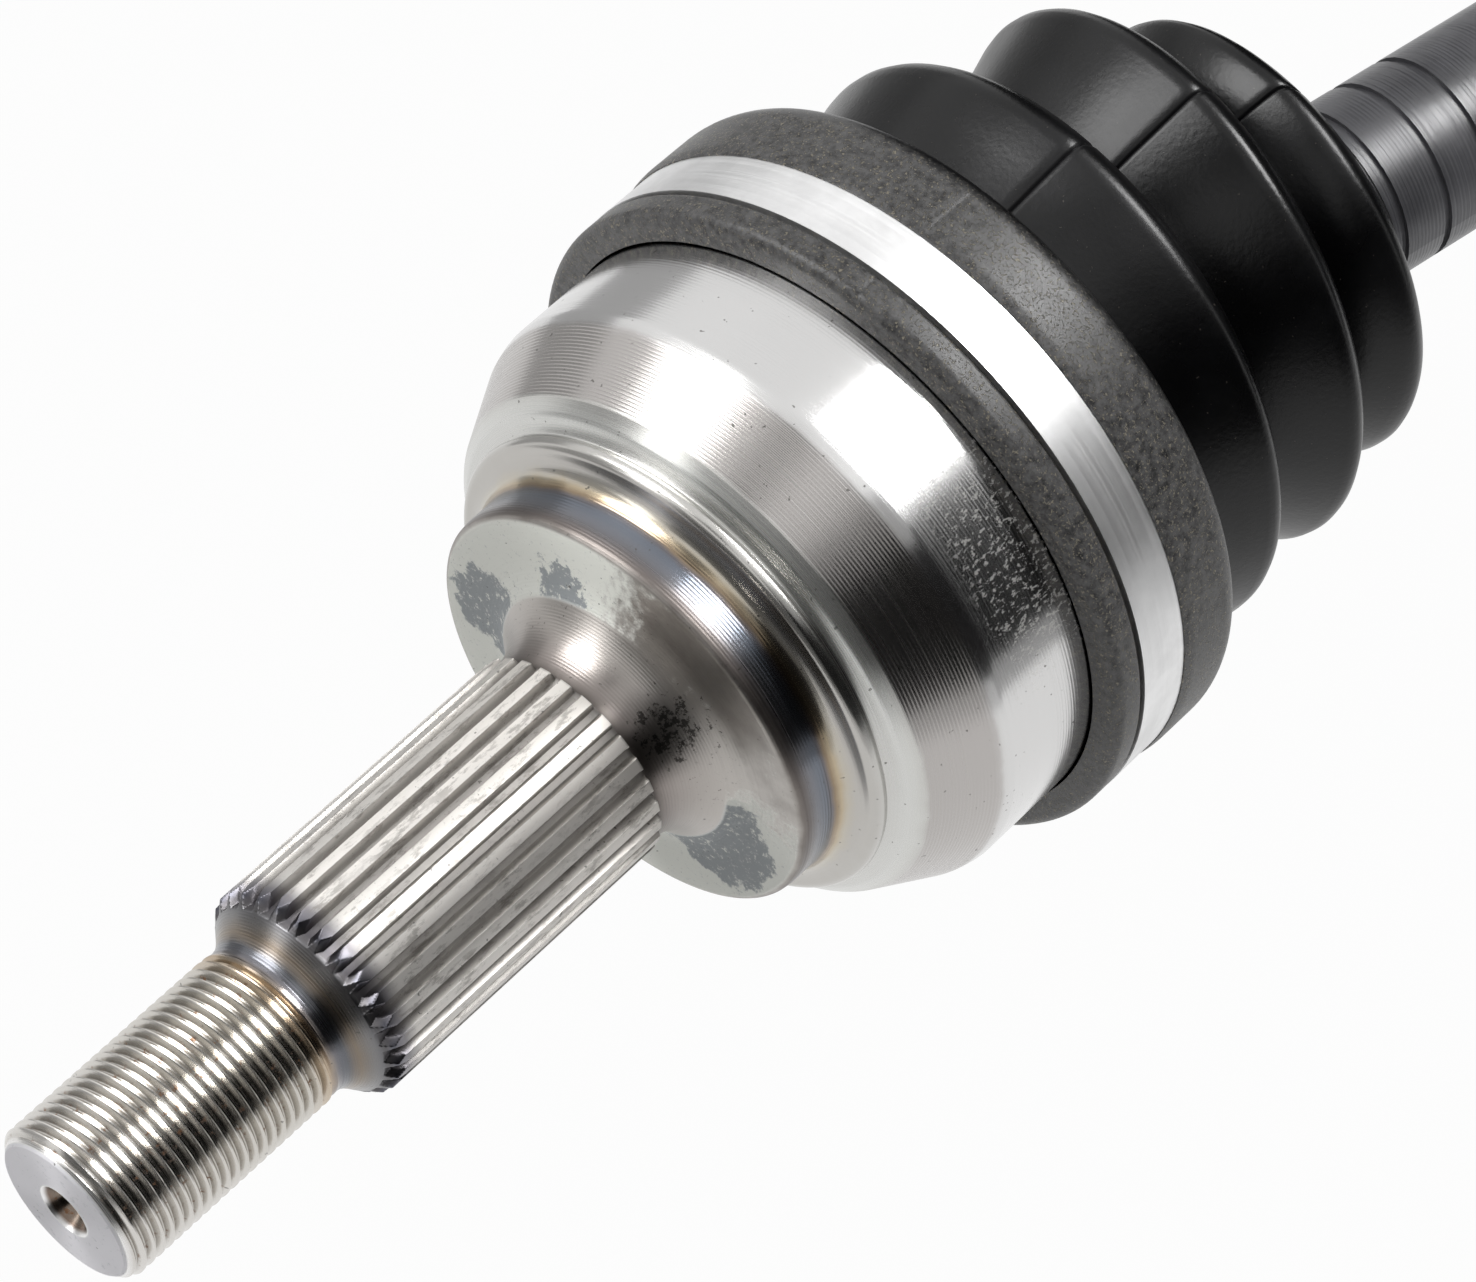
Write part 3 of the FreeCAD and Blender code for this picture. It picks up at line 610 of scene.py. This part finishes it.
def face_oxide(tree, vector, y, radius, angle, cloud):
    """Dull oxide on the shoulder's face, away from its bright side."""
    face = times(tree, window(tree, radius, 18.5, 28.2, 0.6), window(tree, y, -1.6, 0.5, 1.0))
    grain = noise(tree, vector, 0.9, 4.0, 0.7)
    clean = maths(tree, "COSINE", maths(tree, "SUBTRACT", angle, math.radians(BRIGHT_SIDE)))
    for part, share in ((cloud, 0.9), (grain, 0.5)):
        clean = maths(tree, "ADD", clean, times(tree, maths(tree, "SUBTRACT", part, 0.5), share))
    return times(tree, face, rise(tree, clean, 0.60, 0.86, 1.0, 0.0))


def face_slate(tree, vector):
    """Mottled darker blotches in the oxide."""
    slate = None
    for spot in SLATE:
        blotch = patch(tree, vector, *spot)
        slate = blotch if slate is None else maths(tree, "MAXIMUM", slate, blotch)
    mottle = noise(tree, vector, 0.9, 6.0, 0.76)
    slate = times(tree, slate, rise(tree, mottle, 0.36, 0.46))
    return maths(tree, "MAXIMUM", slate, times(tree, rise(tree, mottle, 0.58, 0.64), 0.3))


def dark_specks(tree, vector, y, cloud):
    """Specks, most of them by the rim, in the fillet and on the teeth."""
    fleck = noise(tree, vector, 1.7, 5.0, 0.75)
    near = maths(tree, "ADD", window(tree, y, -4.0, 2.4, 1.5), times(tree, window(tree, y, -54, -8, 1), 0.7))
    dark = times(tree, rise(tree, fleck, 0.60, 0.68), maths(tree, "MULTIPLY", near, 0.75, clamp=True))
    return times(tree, dark, rise(tree, cloud, 0.40, 0.62))


def dust_flakes(tree, vector, y, angle):
    """Pale flakes on one side of the bell, by the boot's lip."""
    side = maths(tree, "SINE", maths(tree, "ADD", angle, math.radians(DUSTY_SIDE)))
    side = times(tree, rise(tree, side, 0.90, 0.98), window(tree, y, 28.0, 40.0, 5.0))
    streaks = node(tree, "VectorMath", vector, (1.0, 0.55, 1.0), operation="MULTIPLY").outputs[0]
    return times(tree, rise(tree, noise(tree, streaks, 1.7, 5.0, 0.74), 0.55, 0.59), side)


def race_steel():
    """The hub forging: turned, heat-tinted, oxidised and specked by station, as in the photograph."""
    material, tree, shader = graph("machined_steel")
    vector, y, radius, angle = row_coordinates(tree)
    wobble = times(tree, maths(tree, "SUBTRACT", noise(tree, vector, 0.25, 3.0), 0.5), 0.8)
    where = node(tree, "MapRange", maths(tree, "ADD", y, wobble), RAMP_FROM, RAMP_TO, 0.0, 1.0).outputs[0]
    colour = ramp(tree, where, RACE_TINT)
    drilled = times(tree, rise(tree, radius, 3.3, 3.8, 1.0, 0.0), rise(tree, y, -93.7, -93.0))
    colour = over(tree, colour, drilled, (0.20, 0.15, 0.12))
    colour = over(tree, colour, tooth_smudge(tree, vector, y), (0.24, 0.22, 0.20), 0.6)

    cloud = noise(tree, vector, 0.11, 5.0, 0.62)
    oxide = face_oxide(tree, vector, y, radius, angle, cloud)
    # The tip's end face outside the centre hole is made pale, dull and near white: a painted reflection of the white
    # floor, laid on like the oxide.
    end = times(tree, window(tree, y, -95, -93.5, 0.2), rise(tree, radius, 3.6, 4.0))
    pale = maths(tree, "MAXIMUM", oxide, end)
    colour = mix(tree, pale, colour, mix(tree, end, (0.90, 0.91, 0.86, 1), (0.92, 0.91, 0.94, 1)))
    colour = over(tree, colour, times(tree, face_slate(tree, vector), pale), (0.42, 0.445, 0.46))
    soot = patch(tree, vector, (11.6, -3.4, 11.0), 3.2, 20.0, 0.5)
    soot = times(tree, soot, rise(tree, noise(tree, vector, 1.3, 5.0, 0.75), 0.44, 0.50))
    colour = over(tree, colour, soot, (0.03, 0.028, 0.025), 0.8)
    colour = over(tree, colour, dark_specks(tree, vector, y, cloud), (0.05, 0.045, 0.04))
    pits = rise(tree, noise(tree, vector, 1.1, 2.0, 0.5), 0.715, 0.74)
    colour = over(tree, colour, pits, (0.10, 0.095, 0.085), 0.7)
    dust = dust_flakes(tree, vector, y, angle)
    colour = over(tree, colour, dust, (0.86, 0.85, 0.82))
    # darker in the tooth roots, dirt and rust in the thread's roots
    root = times(tree, window(tree, y, -55, -9, 1.0), rise(tree, radius, 14.0, 14.75, 1.0, 0.0))
    colour = over(tree, colour, root, (0.09, 0.08, 0.075), 0.5)
    deep = times(tree, window(tree, y, -92.5, -61.5, 0.6), rise(tree, radius, 10.2, 10.75, 1.0, 0.0))
    rust = times(tree, deep, rise(tree, noise(tree, vector, 0.9, 4.0, 0.7), 0.56, 0.66))
    colour = over(tree, colour, deep, (0.22, 0.20, 0.17), 0.35)
    colour = over(tree, colour, rust, (0.24, 0.10, 0.03), 0.85)
    put(tree, shader.inputs["Base Color"], colour)

    rough = ramp(tree, where, [(station, (v, v, v)) for station, v in RACE_ROUGHNESS])
    dulled = maths(tree, "ADD", times(tree, pale, 0.42), times(tree, root, 0.1))
    rings = ring_marks(tree, y, radius, 0.22)
    shade = times(tree, maths(tree, "SUBTRACT", rings, 0.8), 0.12)
    put(tree, shader.inputs["Roughness"], maths(tree, "ADD", maths(tree, "ADD", rough, dulled), shade, clamp=True))
    worn = times(tree, window(tree, y, -52.5, -9.0, 0.8), 0.75)
    matte = maths(tree, "MAXIMUM", maths(tree, "ADD", pale, rust, clamp=True), maths(tree, "MAXIMUM", worn, dust))
    put(tree, shader.inputs["Metallic"], blend_number(tree, matte, 1.0, 0.35))
    brushed(tree, shader, 0.6)

    path = along_profile(tree, y, radius)
    height = times(tree, rings, 0.5)
    for low, high, edge, pitch, depth in RACE_RINGS:
        wave = maths(tree, "SINE", times(tree, path, 2 * math.pi / pitch))
        wave = times(tree, times(tree, wave, depth), window(tree, y, low, high, edge))
        height = maths(tree, "ADD", height, wave)
    height = maths(tree, "ADD", height, times(tree, noise(tree, vector, 0.5, 3.0), 0.35))
    bump(tree, shader, height, 0.010)
    return material


def rubber(name, dust):
    """Black rubber with mould bloom, and for the hub boot a film of dust and chips on its collar."""
    material, tree, shader = graph(name)
    vector, y, _, _ = row_coordinates(tree)
    bloom = noise(tree, vector, 0.06, 4.0, 0.55)
    colour = mix(tree, rise(tree, bloom, 0.4, 0.7), (0.0018, 0.0018, 0.0022, 1), (0.0055, 0.0054, 0.0064, 1))
    rough = blend_number(tree, rise(tree, bloom, 0.35, 0.7), 0.26, 0.34)
    height = times(tree, noise(tree, vector, 1.3, 3.0), 0.6)
    if dust:
        collar = window(tree, y, DUSTY_FROM, DUSTY_TO, 2.5)
        film = times(tree, collar, rise(tree, noise(tree, vector, 0.8, 6.0, 0.75), 0.22, 0.72))
        colour = over(tree, colour, film, (0.24, 0.237, 0.236), 0.85)
        chips = times(tree, collar, rise(tree, noise(tree, vector, 2.6, 4.0, 0.7), 0.565, 0.61))
        colour = over(tree, colour, chips, (0.42, 0.38, 0.30))
        everywhere = rise(tree, noise(tree, vector, 1.9, 2.0, 0.5), 0.73, 0.76)
        colour = over(tree, colour, everywhere, (0.16, 0.14, 0.12), 0.5)
        rough = blend_number(tree, film, rough, 0.5)
        height = maths(tree, "ADD", height, times(tree, chips, 1.5))
    put(tree, shader.inputs["Base Color"], colour)
    put(tree, shader.inputs["Roughness"], rough)
    shader.inputs["Specular IOR Level"].default_value = 0.32
    bump(tree, shader, height, 0.05)
    return material


def black_paint():
    """Satin black over turned rings."""
    material, tree, shader = graph("bar_paint")
    vector, station, _, _ = row_coordinates(tree, bar=True)
    rings = noise(tree, station, 1.8, 2.0, 0.6, "1D")
    cloud = noise(tree, vector, 0.08, 4.0, 0.6)
    colour = mix(tree, rise(tree, cloud, 0.35, 0.7), (0.095, 0.095, 0.104, 1), (0.145, 0.145, 0.158, 1))
    put(tree, shader.inputs["Base Color"], colour)
    put(tree, shader.inputs["Roughness"], blend_number(tree, rise(tree, cloud, 0.3, 0.7), 0.30, 0.38))
    fine = window(tree, station, 76.0, 108.0, 6.0)
    height = times(tree, rings, blend_number(tree, fine, 0.35, 1.0))
    wave = maths(tree, "SINE", times(tree, station, 2 * math.pi / 0.62))
    bump(tree, shader, maths(tree, "ADD", height, times(tree, wave, 0.16)), 0.05)
    return material


def plain(name, colour, roughness, metallic=0.0):
    """One finish with cloudy colour, uneven gloss and a fine grain."""
    material, tree, shader = graph(name)
    vector = row_coordinates(tree)[0]
    cloud = noise(tree, vector, 0.15, 4.0, 0.6)
    darker = (*(c * 0.82 for c in colour), 1)
    put(tree, shader.inputs["Base Color"], mix(tree, rise(tree, cloud, 0.3, 0.7), darker, (*colour, 1)))
    put(tree, shader.inputs["Roughness"], blend_number(tree, cloud, roughness * 0.8, roughness * 1.2))
    shader.inputs["Metallic"].default_value = metallic
    bump(tree, shader, noise(tree, vector, 0.4, 3.0), 0.02)
    return material


FINISHES = {
    "machined_steel": race_steel(),
    "cage_steel": plain("cage_steel", (0.30, 0.30, 0.31), 0.35, 1.0),
    "race_steel": plain("race_steel", (0.42, 0.42, 0.43), 0.30, 1.0),
    "housing_steel": steel("housing_steel", (0.52, 0.51, 0.50), 0.30, bar=True),
    "bar_paint": black_paint(),
    "adapter_plastic": plain("adapter_plastic", (0.03, 0.03, 0.032), 0.5),
    "clamp_steel": steel("clamp_steel", (0.82, 0.82, 0.82), 0.40, 0.18, 0.001, 0.2),
    "spring_steel": plain("spring_steel", (0.20, 0.20, 0.21), 0.35, 1.0),
    "bearing_steel": plain("bearing_steel", (0.62, 0.62, 0.63), 0.16, 1.0),
    "boot_rubber": rubber("boot_rubber", True),
}
BOX_RUBBER = rubber("box_boot_rubber", False)


def finish_cad_nodes():
    """Gives every CAD node its finish, and rounds the clamps' edges."""
    slots = {s["node"]: s["material_slot"] for s in frame["record"]["subparts"]}
    for name, obj in frame["nodes"].items():
        obj.data.materials.clear()
        obj.data.materials.append(FINISHES[slots[name]])
        if "clamp" in name:
            bevel = obj.modifiers.new("edges", "BEVEL")
            bevel.width, bevel.segments, bevel.limit_method = 0.00025, 2, "ANGLE"


def pieces():
    """The pieces made here; the hub race goes on its body, and the CAD nodes they stand in for are hidden."""
    race = hub_race()
    race.data.materials.append(FINISHES["machined_steel"])
    race.data.materials.append(FINISHES["race_steel"])
    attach(race, "outer_joint")
    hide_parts("outer_race")

    boot = bellows("hub_boot", HUB_BOOT, hub_boot_place)
    boot.data.materials.append(FINISHES["boot_rubber"])
    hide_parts("outer_boot")
    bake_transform(boot)

    profile = box_boot_profile()
    split = next(i for i, (r, s) in enumerate(profile) if s < BOX_SPLIT - 0.2)
    parts = (("box_boot_wide", profile[:split + 1], "roller_1", "inner_housing", BOX_SPLIT, BOX_BEND_TO),
             ("box_boot_narrow", profile[split:], "bar", "roller_1", BOX_BEND_FROM, BOX_SPLIT))
    for name, share, first, second, low, high in parts:
        piece = bellows(name, share, box_boot_place)
        piece.data.materials.append(BOX_RUBBER)
        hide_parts("inner_boot")
        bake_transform(piece)


# Stage

def emitter(name, strength):
    """A plain white glow."""
    material = bpy.data.materials.new(name)
    material.use_nodes = True
    tree = material.node_tree
    tree.nodes.clear()
    glow = node(tree, "Emission", (1, 1, 1, 1), strength)
    out = tree.nodes.new("ShaderNodeOutputMaterial")
    tree.links.new(glow.outputs[0], out.inputs[0])
    return material


def direction(azimuth, elevation):
    """The unit vector that way from the target, azimuth from +X towards +Y, in degrees."""
    a, e = math.radians(azimuth), math.radians(elevation)
    return Vector((math.cos(a) * math.cos(e), math.sin(a) * math.cos(e), math.sin(e)))


def aim(obj, azimuth, elevation, distance):
    """Puts an object that way from the target, facing it."""
    way = direction(azimuth, elevation)
    obj.location = Vector(TARGET) + way * distance
    obj.rotation_euler = way.to_track_quat("Z", "Y").to_euler()


def softbox(name, azimuth, elevation, distance, width, height, radiance):
    """An area lamp whose face has that radiance."""
    lamp = bpy.data.lights.new(name, "AREA")
    lamp.shape, lamp.size, lamp.size_y = "RECTANGLE", width, height
    lamp.energy = radiance * math.pi * width * height
    obj = bpy.data.objects.new(name, lamp)
    bpy.context.scene.collection.objects.link(obj)
    aim(obj, azimuth, elevation, distance)
    obj.visible_glossy = False


def card(name, azimuths, elevations, distance, strength):
    """A curved card between those angles, and only reflections see it."""
    shell = Shell()
    rows = []
    for i in range(CARD_STEPS + 1):
        elevation = elevations[0] + (elevations[1] - elevations[0]) * i / CARD_STEPS
        turns = [azimuths[0] + (azimuths[1] - azimuths[0]) * j / CARD_STEPS for j in range(CARD_STEPS + 1)]
        rows.append([(Vector(TARGET) + direction(a, elevation) * distance) / MM for a in turns])
    obj = shell.rings(rows, closed=False).done(name)
    obj.data.materials.append(emitter(name, strength))
    for ray in ("camera", "diffuse", "transmission", "shadow", "volume_scatter"):
        setattr(obj, "visible_" + ray, False)


def seen_directly(tree):
    """1 for the rays that show a surface to the camera, to metal or to glass, and 0 for those that light things."""
    path = node(tree, "LightPath")
    seen = maths(tree, "ADD", path.outputs["Is Camera Ray"], path.outputs["Is Glossy Ray"])
    return maths(tree, "ADD", seen, path.outputs["Is Transmission Ray"], clamp=True)


def studio():
    """Floor, world, lamps and cards."""
    floor = bpy.data.meshes.new("floor")
    corners = [(x * FLOOR_HALF, y * FLOOR_HALF, 0) for x, y in ((-1, -1), (1, -1), (1, 1), (-1, 1))]
    floor.from_pydata(corners, [], [(0, 1, 2, 3)])
    obj = bpy.data.objects.new("floor", floor)
    obj.location.z = FLOOR_Z
    bpy.context.scene.collection.objects.link(obj)
    material, tree, shader = graph("pale_floor")
    shader.inputs["Base Color"].default_value = (1, 1, 1, 1)
    shader.inputs["Roughness"].default_value = 0.9
    glow = node(tree, "Emission", (1, 1, 1, 1), 1.0)
    both = node(tree, "MixShader", times(tree, seen_directly(tree), FLOOR_SHOWN), shader.outputs[0], glow.outputs[0])
    tree.links.new(both.outputs[0], tree.nodes["Material Output"].inputs[0])
    floor.materials.append(material)

    world = bpy.data.worlds.new("studio")
    bpy.context.scene.world = world
    world.use_nodes = True
    tree = world.node_tree
    tree.nodes.clear()
    light = node(tree, "Background", (1, 1, 1, 1), WORLD_LIGHT)
    back = node(tree, "Background", (1, 1, 1, 1), 1.0)
    both = node(tree, "MixShader", seen_directly(tree), light.outputs[0], back.outputs[0])
    out = tree.nodes.new("ShaderNodeOutputWorld")
    tree.links.new(both.outputs[0], out.inputs[0])

    for settings in SOFTBOXES:
        softbox(*settings)
    for settings in CARDS:
        card(*settings)


def camera():
    """The camera of the photograph."""
    data = bpy.data.cameras.new("camera")
    data.lens, data.sensor_width = LENS, 36.0
    data.clip_start, data.clip_end = 0.01, 50.0
    obj = bpy.data.objects.new("camera", data)
    bpy.context.scene.collection.objects.link(obj)
    turn = Matrix((CAMERA_RIGHT, CAMERA_UP, CAMERA_BACK)).transposed().to_4x4()
    obj.matrix_world = Matrix.Translation(CAMERA_AT) @ turn
    bpy.context.scene.camera = obj


finish_cad_nodes()
pieces()
studio()
camera()
bpy.context.scene.view_settings.view_transform = "Standard"
